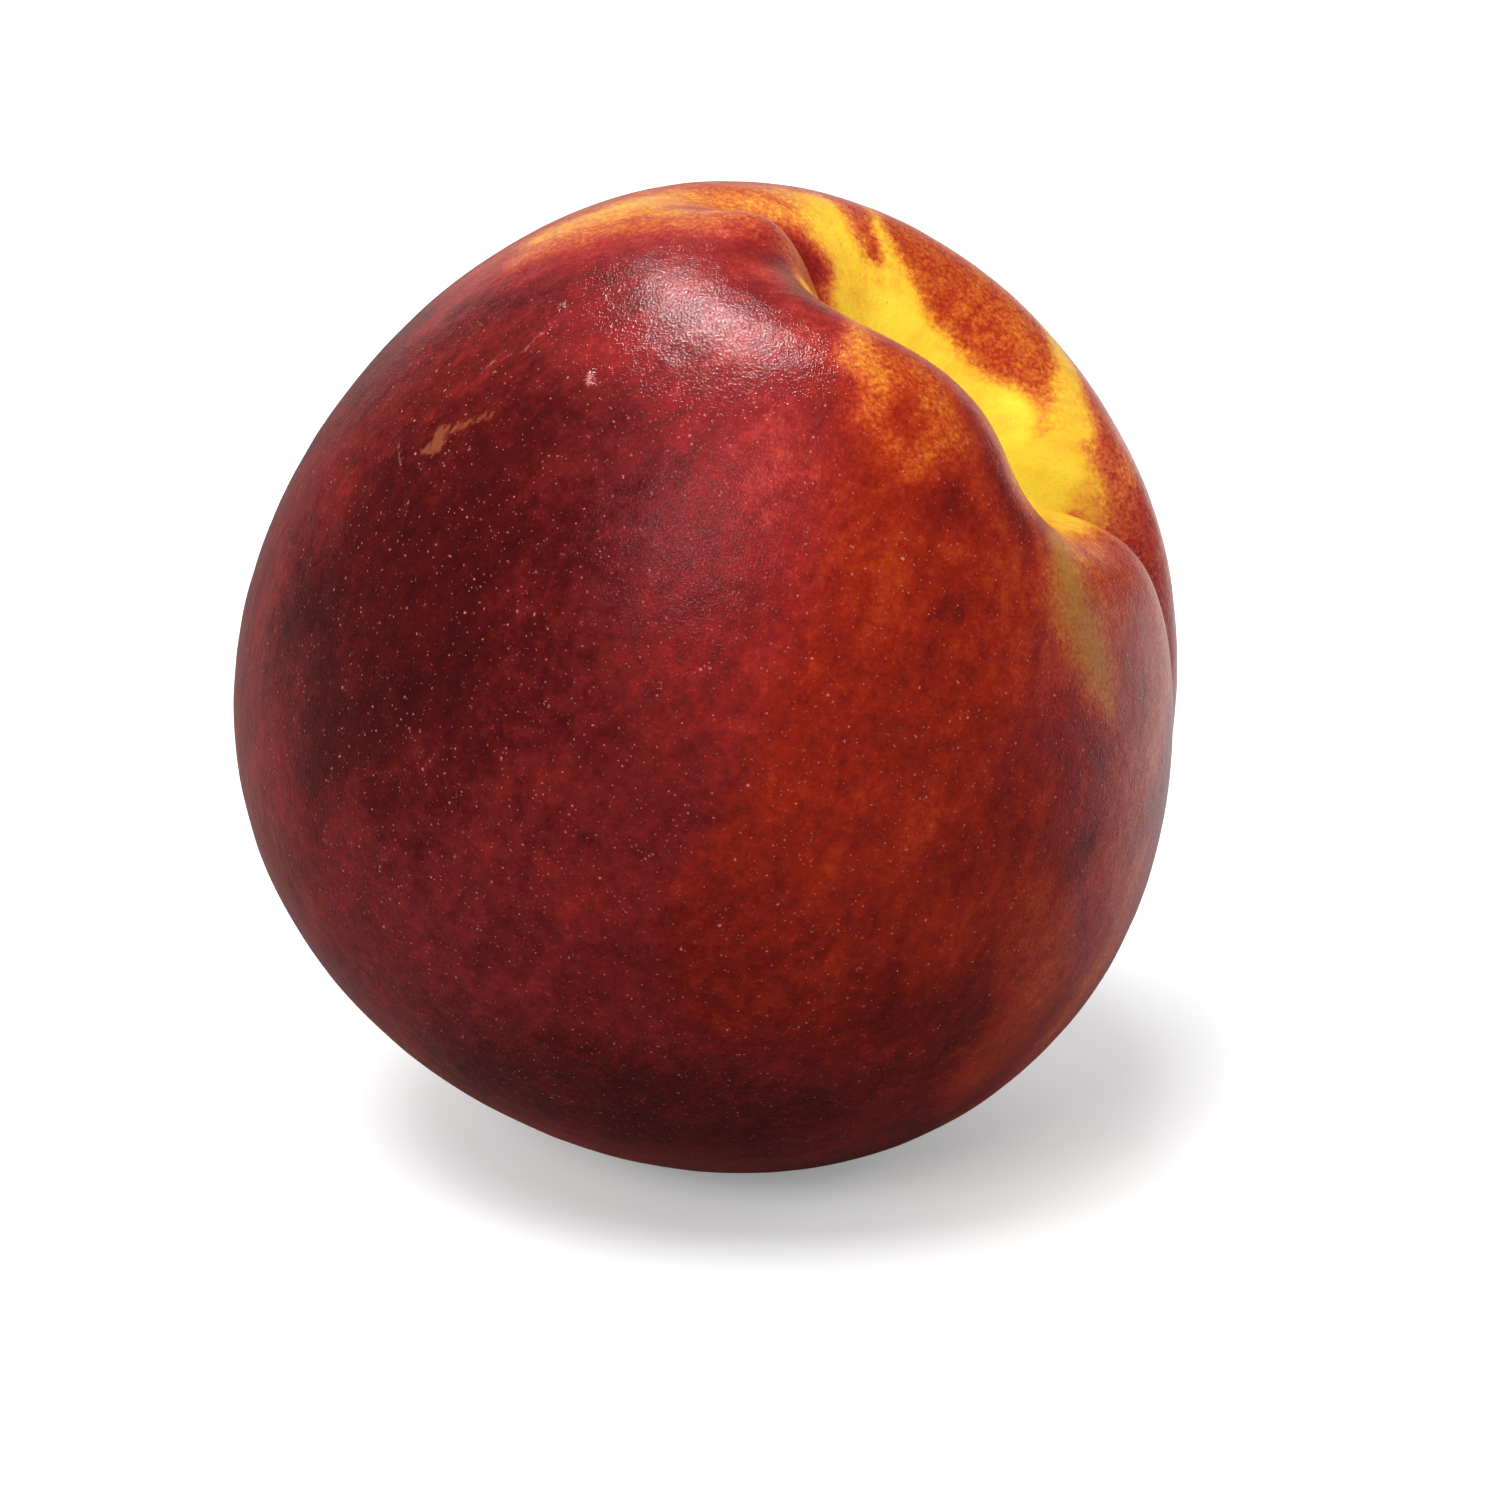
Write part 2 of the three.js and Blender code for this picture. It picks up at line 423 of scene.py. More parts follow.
def nectarine_strokes() -> tuple[Stroke, ...]:
    """Lists the colouring of this fruit, from its broad sunny cheek to its smallest marks.

    Returns:
        The strokes, in the order they are laid.
    """
    cool, olive, pores = Field.COOL, Field.OLIVE, Field.PORES
    russet, crease = Field.RUSSET, Field.CREASE
    return (
        # The sunny cheek: maroon to the left, crimson in the middle and a warm red to the right. The
        # crimson middle lies under the highlights and is partly painted sheen: the red is lighter and
        # pinker there.
        Stroke(1.08, ((-76, -46, 8), (-66, -50, 10), (-66, -68, 10)), soft=16),
        Stroke(0.97, ((-54, -36, 10), (-44, -44, 15), (-40, -58, 20), (-38, -68, 22)), soft=16),
        Stroke(1.08, ((-58, -42, 6), (-48, -50, 9), (-46, -62, 10), (-58, -66, 7)), soft=16),
        Stroke(0.9, ((-19, -70, 3), (-27, -81, 7)), soft=10),
        Stroke(0.3, ((-46, -34, 6), (-50, -52, 10)), soft=20, field=cool),
        Stroke(0.74, ((-8, -50, 12), (10, -56, 16), (30, -60, 15), (44, -62, 6)), soft=20),
        # Lighter red under the highlights: partly the skin's own crimson, partly painted highlight haze.
        Stroke(0.66, ((-28, -17, 3), (-20, -27, 5), (-13, -36, 6), (0, -40, 6)), soft=14),
        Stroke(0.74, ((-39, -18, 2), (-35, -25, 3.5), (-27, -28, 4.5), (-20, -31, 3)), soft=8),
        # Lighter red on the left lobe's shoulder: partly the skin's own red, partly painted sheen.
        Stroke(0.68, ((-60, -8, 2.5), (-55, -5, 3), (-48, -9, 2.5)), soft=6),
        # A purple-pink lean over the crimson middle and low on the front: partly the red's own hue, partly
        # painted sheen.
        Stroke(1.0, ((-42, -14, 10), (-26, -24, 11), (-17, -50, 10)), soft=14, field=cool),
        Stroke(0.95, ((-50, -98, 16), (-20, -110, 14)), soft=24, field=cool),
        Stroke(0.0, ((6, -24, 15), (12, -44, 14), (20, -76, 18), (60, -50, 20)), soft=8, field=cool),
        Stroke(0.62, ((46, -52, 4), (56, -48, 8), (66, -47, 9), (76, -54, 8)), soft=12),
        # Lighter warm red low on the right: partly the skin's own colour, partly painted bounce light from
        # the right.
        Stroke(0.56, ((100, -40, 10), (86, -26, 12), (72, -14, 10)), soft=30),
        Stroke(0.46, ((84, -37, 4), (76, -30, 4), (66, -24, 4)), soft=14),
        Stroke(0.65, ((34, -37, 3), (46, -38, 5), (58, -38, 6), (72, -34, 8)), soft=9, field=cool),
        Stroke(0.45, ((56, -22, 8), (42, -12, 4)), soft=8, field=cool),
        Stroke(0.73, ((24, -40, 3), (34, -42, 5), (42, -38, 5)), soft=7),
        Stroke(0.6, ((47, -26, 4), (57, -31, 5), (68, -33, 4)), soft=8),
        Stroke(0.57, ((46, -16, 4), (52, -24, 4), (56, -36, 4)), soft=8),
        Stroke(0.5, ((44, -12, 2.5), (48, -15, 3), (52, -19, 3)), soft=9),
        Stroke(0.45, ((64, -24, 2.5), (76, -28, 3)), soft=14),
        Stroke(1.02, ((-20, -132, 12), (10, -121, 12), (40, -106, 12), (60, -92, 8)), soft=16),
        # Lighter blotches in the warm red.
        Stroke(0.69, ((16, -38, 2.5), (20, -48, 3), (26, -50, 3), (25, -60, 2.5)), soft=7),
        Stroke(0.64, ((16, -34, 1), (15, -42, 1.5)), soft=5),
        Stroke(0.68, ((3, -38, 1.5), (4, -46, 1.5)), soft=5),
        # The far cheek, which hung in the shade, and the hidden side by the tip.
        Stroke(0.5, ((-20, 80, 16), (-40, 92, 14)), soft=44, strength=0.9),
        Stroke(0.1, ((0, 40, 34), (-20, 80, 24), (-40, 92, 20)), soft=16, field=cool),
        Stroke(0.6, ((75, -130, 14),), soft=30, strength=0.8),
        # Orange inside the near shoulder, its glow, and the yellow crest of the cavity beside it.
        Stroke(0.46, ((-12, -14, 2.5), (-4, -17, 3), (8, -18, 3), (17, -17, 3)), soft=7),
        Stroke(0.5, ((-4, -22, 3), (2, -26, 3.5), (0, -31, 1.5), (-6, -29, 2.5)), soft=6),
        Stroke(0.36, ((-10.5, -17, 1.6), (-9.5, -23, 2.8), (-6, -26, 1.5)), soft=4),
        Stroke(0.67, ((7, -28, 2), (12, -31, 3), (19, -34.5, 3)), soft=4),
        Stroke(0.66, ((9, -35.5, 2.5), (14, -36, 2.5)), soft=4),
        Stroke(0.5, ((6, -20.5, 1.5), (14, -24, 2)), soft=4),
        Stroke(0.34, ((9.5, -21, 0.8), (12.5, -22, 1))),
        Stroke(0.62, ((17, -27, 1.5), (18, -30, 1)), soft=4),
        # Orange red all round the stem cavity, under the strokes that follow.
        Stroke(0.68, ((-52, 16, 10), (-22, 38, 12), (14, 36, 14), (48, 12, 12), (74, -8, 10)), soft=26),
        Stroke(0.52, ((-18, 22, 8), (0, 16, 14), (22, 12, 14), (38, 8, 8)), soft=16),
        Stroke(0.6, ((-25, 1, 4), (-15, 1, 4)), soft=8),
        Stroke(0.58, ((26, -14, 6), (28, -22, 5), (36, -8, 5), (40, -16, 5)), soft=6),
        Stroke(0.66, ((18, -35, 4), (26, -37, 4)), soft=6),
        Stroke(0.5, ((-56, 2, 4), (-46, 8, 7), (-32, 14, 8), (-20, 18, 7)), soft=13),
        # The orange back of the left lobe and its red crest, with pale painted sheen along the crest's
        # edge.
        Stroke(0.46, ((-50, 2, 3), (-42, 8, 5), (-32, 12, 5), (-22, 15, 5)), soft=9),
        Stroke(0.7, ((-46, -11, 2.5), (-36, -12, 2.5), (-29, -12, 3), (-22, -11, 3)), soft=5),
        Stroke(0.6, ((-48, -4.5, 3), (-40, -8, 2), (-30, -7, 2.5), (-22, -5, 2.5)), soft=4),
        Stroke(0.34, ((-34, 4, 3), (-26, 8, 3.5), (-24, 13, 1.5)), soft=5),
        # Pale strokes along the edge of the crest, where it turns away: partly the lobe's own orange,
        # partly painted sheen.
        Stroke(0.24, ((-47, 1, 2), (-41, 0.5, 3), (-36, 4, 4), (-33, 8, 1.5)), soft=5),
        Stroke(0.44, ((-33, -2, 1), (-29, -1.5, 1.5), (-25, -2, 1.5), (-20.5, -1, 1.2), (-19.5, -5, 0.6))),
        Stroke(0.6, ((-48, -4, 5), (-38, -4, 5), (-30, 6, 8), (-20, 16, 7)), soft=4, field=cool),
        Stroke(0.42, ((-49, -4.3, 2), (-40, -4.9, 2), (-34, -4.5, 1.8), (-28, -4.8, 1.4)), soft=4),
        Stroke(0.28, ((-47, 0, 2), (-41, -1, 2.4), (-35, -1, 2), (-29.5, -1.5, 1.6)), soft=4),
        Stroke(0.4, ((-29, -2, 1.2), (-25, -3, 1)), soft=4),
        Stroke(0.35, ((-47, -1, 4), (-35, -2, 4)), soft=4, field=cool),
        Stroke(0.58, ((-21, -13, 1.8), (-18.5, -16.5, 1.2)), soft=4),
        Stroke(0.64, ((-17.5, -18, 1.4), (-15, -20, 1.8), (-13.5, -24, 1.4)), soft=4),
        # Bare yellow skin down in the stem cavity and over its far rim.
        Stroke(0.02, ((-6, -4, 12.5), (6, -5, 12), (12, -3, 13)), soft=2.5),
        Stroke(0.04, ((-5, 2, 10.5), (6, 0, 9.5), (18, 0, 5.5)), soft=2.5),
        Stroke(0.05, ((22, 1, 5.5), (25, -3, 4.5)), soft=3.5),
        Stroke(0.16, ((24.5, -7, 4), (23, -11, 3.2), (21.5, -15, 1.6)), soft=4),
        Stroke(0.2, ((0, 7.5, 2), (9, 4.5, 2)), soft=5, strength=0.7),
        Stroke(0.26, ((-23, 9, 1.5), (-20.5, 9, 1.8), (-17.8, 8.6, 1.4), (-21, 13, 2.5)), soft=4),
        Stroke(0.14, ((-12, 9, 3), (-15.5, 10.5, 3), (-18, 15, 2.5)), soft=3.5),
        Stroke(0.42, ((31, -6, 1.6), (28.5, -7, 1.6), (25.5, -17, 1.6)), soft=4),
        Stroke(0.6, ((28, -11, 1.2), (29.5, -16, 2), (29, -21, 1.8)), soft=3.5),
        Stroke(0.66, ((34, -18, 1.6), (37, -22, 2.2), (41.5, -24.5, 2)), soft=5),
        Stroke(0.6, ((37, -29, 2.5), (46, -30.5, 3), (58, -33, 3.5), (70, -36, 4)), soft=8, strength=0.7),
        Stroke(0.5, ((39.5, -10, 1.4), (41, -13.5, 1.2)), soft=4),
        Stroke(0.2, ((19.5, -13, 2.5), (21.5, -17, 2), (20.5, -20, 1.4)), soft=4),
        Stroke(0.34, ((20, -22, 1.6), (23.5, -21.5, 1.4))),
        Stroke(0.0, ((20, -18, 9), (28, -10, 10), (38, -18, 10)), soft=8, field=cool),
        # Flames of red that come over the far rim, with yellow between them.
        Stroke(0.52, ((-5, 18, 1.4), (-1.5, 18.5, 2.6), (0, 25, 7))),
        Stroke(0.46, ((2, 19.5, 3), (8.5, 16.5, 1.4), (13, 12, 0.7), (17.4, 6.2, 0.3))),
        Stroke(0.54, ((-1, 18.5, 1.6), (4, 18, 1.2)), soft=4),
        Stroke(
            0.1,
            ((-13.6, 21, 0.1), (-12, 18, 0.6), (-11.2, 16.4, 0.9), (-9, 14, 1.0), (-5, 12, 1)),
            soft=2,
        ),
        Stroke(0.1, ((-2, 10.6, 1.2), (4, 9.8, 1.5), (8.4, 8, 1.5), (12.8, 6.1, 1.4)), soft=1.8),
        Stroke(0.5, ((-12.6, 15.4, 0.1), (-15.2, 17.4, 0.8), (-18, 20, 1.8), (-20, 26, 4)), soft=2.2),
        Stroke(0.1, ((-10.4, 11.6, 0.6), (-8.4, 12.4, 0.9)), soft=1.6),
        Stroke(0.26, ((6, 30, 0.3), (10.5, 24, 1)), soft=5),
        Stroke(0.16, ((10, 25, 0.4), (12.5, 20.5, 1.6), (15.5, 16, 2.4), (20, 8, 2.6)), soft=2.8),
        Stroke(0.4, ((29, 7.5, 1.4), (25.5, 14, 1.4))),
        Stroke(0.2, ((26.5, 4, 1.4), (30, 2.5, 1.6))),
        Stroke(0.45, ((33, 4, 1.2), (34, -3, 1.6))),
        Stroke(0.6, ((37, 5, 2), (34, 8, 2.5), (30.5, 14, 3), (29, 27, 8)), soft=5),
        Stroke(0.62, ((44, 4, 3), (54, 4, 9)), soft=8),
        # The shaded end of the cavity behind the stem.
        Stroke(0.56, ((-13.2, 3.5, 0.7), (-15.2, 4.8, 0.9), (-17.5, -4, 1.6)), soft=2.2),
        # The valley beside the suture, yellow turning to olive.
        Stroke(0.6, ((21, -29, 3.4), (28, -29, 5), (35, -29, 4.5)), soft=7),
        Stroke(0.15, ((20, -27, 4), (28, -28, 6), (35, -28, 5)), soft=6, field=cool),
        Stroke(
            0.42,
            ((20, -24.5, 2), (23, -27.5, 3.2), (28, -28.5, 3.4), (33, -29, 2), (38, -30, 0.3)),
            soft=6,
        ),
        Stroke(0.29, ((18.6, -24, 1), (20.5, -24.3, 1.4), (22.6, -25.2, 1.2))),
        Stroke(
            0.9,
            ((19.5, -24.5, 1.8), (24, -27.6, 3.2), (28.5, -28.5, 3.2), (33, -29, 1.8), (37, -30, 0.3)),
            soft=8, strength=0.85, field=olive,
        ),
        # Pores crowd on the lower half and are few on the yellow.
        Stroke(0.15, ((4, 0, 22),), soft=14, field=pores),
        Stroke(1.0, ((-20, -95, 50),), soft=60, field=pores),
        # Scars: a corky patch with an arm, the dark stain beside it, and healed creases.
        Stroke(1.0, ((-56, -34, 1.5), (-53, -38, 2.2))),
        Stroke(
            1.0,
            (
                (-54.6, -34.6, 0.7), (-52.2, -35.6, 0.9), (-52.8, -32.6, 0.8),
                (-50, -33.2, 0.6), (-45.4, -33.2, 0.35),
            ),
            soft=1.6, field=russet,
        ),
        Stroke(0.8, ((-53, -26, 1), (-49, -28, 1)), soft=4),
        Stroke(0.5, ((-23.5, -15.5, 0.4), (-23.3, -16, 0.4)), soft=1.2),
        Stroke(
            1.0,
            ((-50.8, -26.4, 0.2), (-49, -26.6, 0.2), (-47.5, -25.3, 0.25), (-43.3, -25, 0.2)),
            soft=1.0, field=crease,
        ),
        Stroke(0.9, ((-43.3, -25, 0.2), (-41.3, -21.7, 0.25), (-40.9, -18.8, 0.2)), soft=1.0, field=crease),
        Stroke(
            0.7,
            ((-50.5, -27.4, 0.2), (-47.5, -25.7, 0.3), (-43.3, -25.4, 0.2), (-41, -21.7, 0.2)),
            soft=1.2,
        ),
        Stroke(
            0.8,
            ((-59.5, -31.5, 0.2), (-57.5, -36, 0.25), (-56, -39, 0.2), (-55.5, -43, 0.2)),
            soft=1.0, field=crease,
        ),
        Stroke(0.7, ((-69, -37, 0.2), (-66, -40, 0.25), (-64, -43, 0.2)), soft=1.0, field=crease),
        Stroke(0.6, ((-42, -26, 0.2), (-42.5, -28, 0.2)), soft=1.0, field=crease),
        # Painted glints: a small dimple whose glints are painted as pale flecks.
        Stroke(1.0, ((-34.8, -29.8, 0.4), (-34.4, -31.2, 0.4)), soft=1.0, field=crease),
    )


# ---- Finishes ----


def add_node(tree: Tree, kind: str, inputs: dict | tuple = (), **settings: object) -> Node:
    """Adds a shader node with its settings, values and links.

    Args:
        tree: the nodes it joins.
        kind: the node's type after "ShaderNode", such as "Math".
        inputs: what each input takes, by name or number, or in order from the first: a value, a
            socket to link from, or a node to link from its first output.
        **settings: the node's own properties.

    Returns:
        The new node.
    """
    node = tree.nodes.new("ShaderNode" + kind)
    for name, value in settings.items():
        setattr(node, name, value)
    for key, value in inputs.items() if isinstance(inputs, dict) else enumerate(inputs):
        source = value.outputs[0] if isinstance(value, Node) else value
        if isinstance(source, Socket):
            tree.links.new(source, node.inputs[key])
        else:
            node.inputs[key].default_value = source
    return node


def set_stops(ramp: bpy.types.ColorRamp, steps: tuple[float, ...], colours: tuple[str, ...]) -> None:
    """Gives a colour ramp its stops.

    Args:
        ramp: the ramp, whose end stands for the last step.
        steps: the value at each stop.
        colours: the sRGB hex colour at each.
    """
    while len(ramp.elements) < len(steps):
        ramp.elements.new(1.0)
    for element, step, colour in zip(ramp.elements, steps, colours):
        element.position = step / steps[-1]
        element.color = linear(colour)


class Lay(Enum):
    """How a mottling lies on the fruit."""

    THROUGH = "alike in all directions"
    ALONG = "on the peel"
    DRAWN_OUT = "on the peel, drawn out from stem to tip"


@dataclass(frozen=True)
class Mottling:
    """One size of mottling in the red.

    Attributes:
        lay: how it lies on the fruit.
        size_mm: how big its clouds are.
        detail: how many finer sizes are in it.
        swings: how far it moves the blush where the skin is even, and where the red thins out.
    """

    lay: Lay
    size_mm: float
    detail: float
    swings: tuple[float, float]


@dataclass(frozen=True)
class RipeSkin:
    """Waxy nectarine skin: thin and hairless, semi-gloss, with colour that lies in the flesh under it.

    To the eye it is a red that is mottled and stippled at its edges over yellow, with pale pores and
    a fine leathery grain that breaks up every highlight.
    """

    steps: tuple[float, ...] = (0.0, 0.14, 0.28, 0.42, 0.56, 0.70, 0.85, 1.0, 1.15)
    sunny: tuple[str, ...] = (  # the colour at each step of blush, from yellow to maroon
        *("#ecd03c", "#dfae30", "#cd8125", "#b5561b", "#9d3313"),
        *("#871f0e", "#66140d", "#470c0b", "#32080a"),
    )
    # The reds that lean to purple: their greyer pink is partly painted sheen.
    purple_and_sheen: tuple[str, ...] = (  # the same where the red leans to purple
        *("#ecd03c", "#dfae30", "#cd7b38", "#b85536", "#a02f2c"),
        *("#801d1f", "#60181a", "#460d0e", "#33090b"),
    )
    half_laid: float = 0.42  # the blush whose red is patchiest
    patchy: Span = (0.3, 0.08, 0.0, 1.0)  # how patchy it is at a distance from there
    covered: Span = (0.0, 0.3, 0.15, 1.0)  # bare skin is hardly mottled
    mottlings: tuple[Mottling, ...] = (
        Mottling(Lay.ALONG, 5.0, 3, (0.34, 0.14)),
        Mottling(Lay.DRAWN_OUT, 1.6, 3, (0.2, 0.14)),
        Mottling(Lay.THROUGH, 1.1, 2, (0.3, 0.28)),
        Mottling(Lay.THROUGH, 0.34, 2, (0.22, 0.62)),
    )
    mottling_roughness: float = 0.65
    drawn_out: float = 0.3
    olive: str = "#866327"
    olive_shows: Span = (0.72, 0.4, 0.1, 1.0)  # only where the red is thin
    pore: str = "#b26860"
    pores_mm: tuple[tuple[float, float], ...] = ((0.36, 0.095), (0.64, 0.14))  # how far apart and how big
    pore_smallest: float = 0.5  # as a part of the biggest
    pore_middle: float = 1.4  # how full its middle is
    pore_rarity: float = 2.0  # the higher, the fewer bright ones
    wobble_per_mm: float = 4.0  # pores are pushed out of round every 0.25 mm
    wobble_mm: float = 0.2
    flocks_per_mm: float = 0.7  # pores stand out more every 1.4 mm
    flocks: Span = (0.35, 0.62, 0.5, 1.6)
    # Pale flecks on the healed creases: partly their own pale marks, partly painted glints.
    flecks_and_glints: Span = (1.0, 1.3, 0.0, 0.65)  # pale flecks along the healed creases
    cork: str = "#7d3f28"
    cork_per_mm: float = 2.0  # its ragged edge breaks up every 0.5 mm
    cork_shows: Span = (0.9, 1.3, 0.0, 0.9)
    roughness: float = 0.3
    ior: float = 1.42
    specular: float = 0.07
    wax: float = 0.36  # the thin coat of wax, which gives the small sharp glints
    wax_roughness: float = 0.06
    wax_ior: float = 1.45
    bloom: float = 0.17  # the waxy bloom, which pales the skin where it turns away
    bloom_roughness: float = 0.3
    bloom_tint: str = "#e4786c"
    grain_mm: float = 0.17
    lumps_per_mm: float = 0.62  # soft lumps under the grain, 1.6 mm apart
    lumps_height: float = 2.0  # as many times the grain's
    crease_height: float = 3.0
    grain_depth_mm: float = 0.036
    wax_grain_depth_mm: float = 0.058

    def material(self) -> bpy.types.Material:
        """Builds the shader.

        Returns:
            The finished material.
        """
        skin = bpy.data.materials.new("ripe_nectarine_skin")
        skin.use_nodes = True
        tree = skin.node_tree
        tree.nodes.clear()
        place = add_node(tree, "TexCoord").outputs["Object"]
        in_mm = add_node(tree, "VectorMath", {0: place, "Scale": 1 / MM}, operation="SCALE")
        fields = {
            name: add_node(tree, "Attribute", attribute_name=name.value).outputs["Fac"] for name in Field
        }
        colour = self._pores(tree, in_mm, fields, self._red_over_yellow(tree, in_mm, fields))
        height = self._grain(tree, in_mm, fields[Field.CREASE])
        skin_grain, wax_grain = (
            add_node(tree, "Bump", {"Height": height, "Distance": depth * MM})
            for depth in (self.grain_depth_mm, self.wax_grain_depth_mm)
        )
        shader = add_node(
            tree,
            "BsdfPrincipled",
            {
                "Base Color": colour,
                "Roughness": self.roughness,
                "IOR": self.ior,
                "Specular IOR Level": self.specular,
                "Coat Weight": self.wax,
                "Coat Roughness": self.wax_roughness,
                "Coat IOR": self.wax_ior,
                "Sheen Weight": self.bloom,
                "Sheen Roughness": self.bloom_roughness,
                "Sheen Tint": linear(self.bloom_tint),
                "Normal": skin_grain,
                "Coat Normal": wax_grain,
            },
        )
        add_node(tree, "OutputMaterial", {"Surface": shader})
        return skin

    def _red_over_yellow(self, tree: Tree, in_mm: Node, fields: dict[Field, Socket]) -> Socket:
        """Lays the red over the bare skin, mottled broadly and stippled where it thins out.

        Args:
            tree: the material's nodes.
            in_mm: places on the skin, in millimetres.
            fields: the colouring's fields.

        Returns:
            The colour without pores and scars.
        """
        peel = add_node(tree, "Attribute", attribute_name=PEEL).outputs["Vector"]
        drawn_out = add_node(tree, "Mapping", {"Vector": peel, "Scale": (1, 1, self.drawn_out)})
        lays = {Lay.THROUGH: in_mm, Lay.ALONG: peel, Lay.DRAWN_OUT: drawn_out}
        # Where the red is half laid it is patchy; where it is full or absent it is even.
        stain = fields[Field.BLUSH]
        away = add_node(tree, "Math", (stain, self.half_laid), operation="SUBTRACT")
        away = add_node(tree, "Math", (away,), operation="ABSOLUTE")
        patchy = add_node(tree, "MapRange", (away, *self.patchy))
        covered = add_node(tree, "MapRange", (stain, *self.covered))
        for mottling in self.mottlings:
            clouds = {
                "Vector": lays[mottling.lay],
                "Scale": 1 / mottling.size_mm,
                "Detail": mottling.detail,
                "Roughness": self.mottling_roughness,
            }
            cloud = add_node(tree, "TexNoise", clouds)
            cloud = add_node(tree, "Math", (cloud, 0.5), operation="SUBTRACT")
            swing = add_node(tree, "MapRange", (patchy, 0.0, 1.0, *mottling.swings))
            swing = add_node(tree, "Math", (swing, covered), operation="MULTIPLY")
            stain = add_node(tree, "Math", (cloud, swing, stain), operation="MULTIPLY_ADD")
        depth = add_node(tree, "Math", (stain, self.steps[-1]), operation="DIVIDE")
        sunny, purple_and_sheen = (add_node(tree, "ValToRGB", {"Fac": depth}) for _ in range(2))
        set_stops(sunny.color_ramp, self.steps, self.sunny)
        set_stops(purple_and_sheen.color_ramp, self.steps, self.purple_and_sheen)
        # Where COOL is high, these purple reds carry partly painted sheen.
        reds = {0: fields[Field.COOL], 6: sunny, 7: purple_and_sheen}
        reds = add_node(tree, "Mix", reds, data_type="RGBA").outputs[2]
        green = add_node(tree, "MapRange", (stain, *self.olive_shows))
        green = add_node(tree, "Math", (fields[Field.OLIVE], green), operation="MULTIPLY")
        greened = {0: green, 6: reds, 7: linear(self.olive)}
        return add_node(tree, "Mix", greened, data_type="RGBA").outputs[2]

    def _pores(self, tree: Tree, in_mm: Node, fields: dict[Field, Socket], colour: Socket) -> Socket:
        """Dots the colour with pale pores, each at its own strength, and lays the corky scars.

        Args:
            tree: the material's nodes.
            in_mm: places on the skin, in millimetres.
            fields: the colouring's fields.
            colour: the colour so far.

        Returns:
            The colour with its pores and scars.
        """
        wobble, flock, ragged = (
            add_node(tree, "TexNoise", {"Vector": in_mm, "Scale": per_mm, "Detail": detail})
            for per_mm, detail in ((self.wobble_per_mm, 1), (self.flocks_per_mm, 2), (self.cork_per_mm, 3))
        )
        pushed = (wobble.outputs["Color"], (self.wobble_mm,) * 3, in_mm)
        pushed = add_node(tree, "VectorMath", pushed, operation="MULTIPLY_ADD")
        mask = 0.0
        for spacing, size in self.pores_mm:
            cells = add_node(tree, "TexVoronoi", {"Vector": pushed, "Scale": 1 / spacing}).outputs
            chance = add_node(tree, "SeparateColor", (cells["Color"],)).outputs
            least, most = self.pore_smallest * size / spacing, size / spacing
            radius = add_node(tree, "MapRange", (chance[2], 0.0, 1.0, least, most))
            dot = add_node(tree, "MapRange", (cells["Distance"], radius, 0.0, 0.0, self.pore_middle))
            shown = add_node(tree, "Math", (chance[0], fields[Field.PORES]), operation="LESS_THAN")
            dot = add_node(tree, "Math", (dot, shown), operation="MULTIPLY")
            strength = add_node(tree, "Math", (chance[1], self.pore_rarity), operation="POWER")
            mask = add_node(tree, "Math", (dot, strength, mask), operation="MULTIPLY_ADD")
        flock = add_node(tree, "MapRange", (flock, *self.flocks))
        mask = add_node(tree, "Math", (mask, flock), operation="MULTIPLY")
        # Pale flecks on the creases, in the pores' colour: partly real marks, partly painted glints.
        flecks_and_glints = add_node(tree, "Math", (wobble, fields[Field.CREASE]), operation="ADD")
        flecks_and_glints = add_node(tree, "MapRange", (flecks_and_glints, *self.flecks_and_glints))
        mask = add_node(tree, "Math", (mask, flecks_and_glints), operation="MAXIMUM")
        cork = add_node(tree, "Math", (ragged, fields[Field.RUSSET]), operation="ADD")
        cork = add_node(tree, "MapRange", (cork, *self.cork_shows))
        for amount, tint in ((mask, self.pore), (cork, self.cork)):
            tinted = {0: amount, 6: colour, 7: linear(tint)}
            colour = add_node(tree, "Mix", tinted, data_type="RGBA").outputs[2]
        return colour

    def _grain(self, tree: Tree, in_mm: Node, crease: Socket) -> Node:
        """Roughens the skin with a fine grain over soft lumps, its healed creases a little proud.

        Args:
            tree: the material's nodes.
            in_mm: places on the skin, in millimetres.
            crease: where the healed creases are.

        Returns:
            The height of the grain.
        """
        grain = {"Vector": in_mm, "Scale": 1 / self.grain_mm, "Detail": 1.5, "Roughness": 0.5}
        height = add_node(tree, "TexNoise", grain)
        lumps = add_node(tree, "TexNoise", {"Vector": in_mm, "Scale": self.lumps_per_mm, "Detail": 2})
        for form, times in ((lumps, self.lumps_height), (crease, self.crease_height)):
            height = add_node(tree, "Math", (form, times, height), operation="MULTIPLY_ADD")
        return height


# ---- The fruit ----


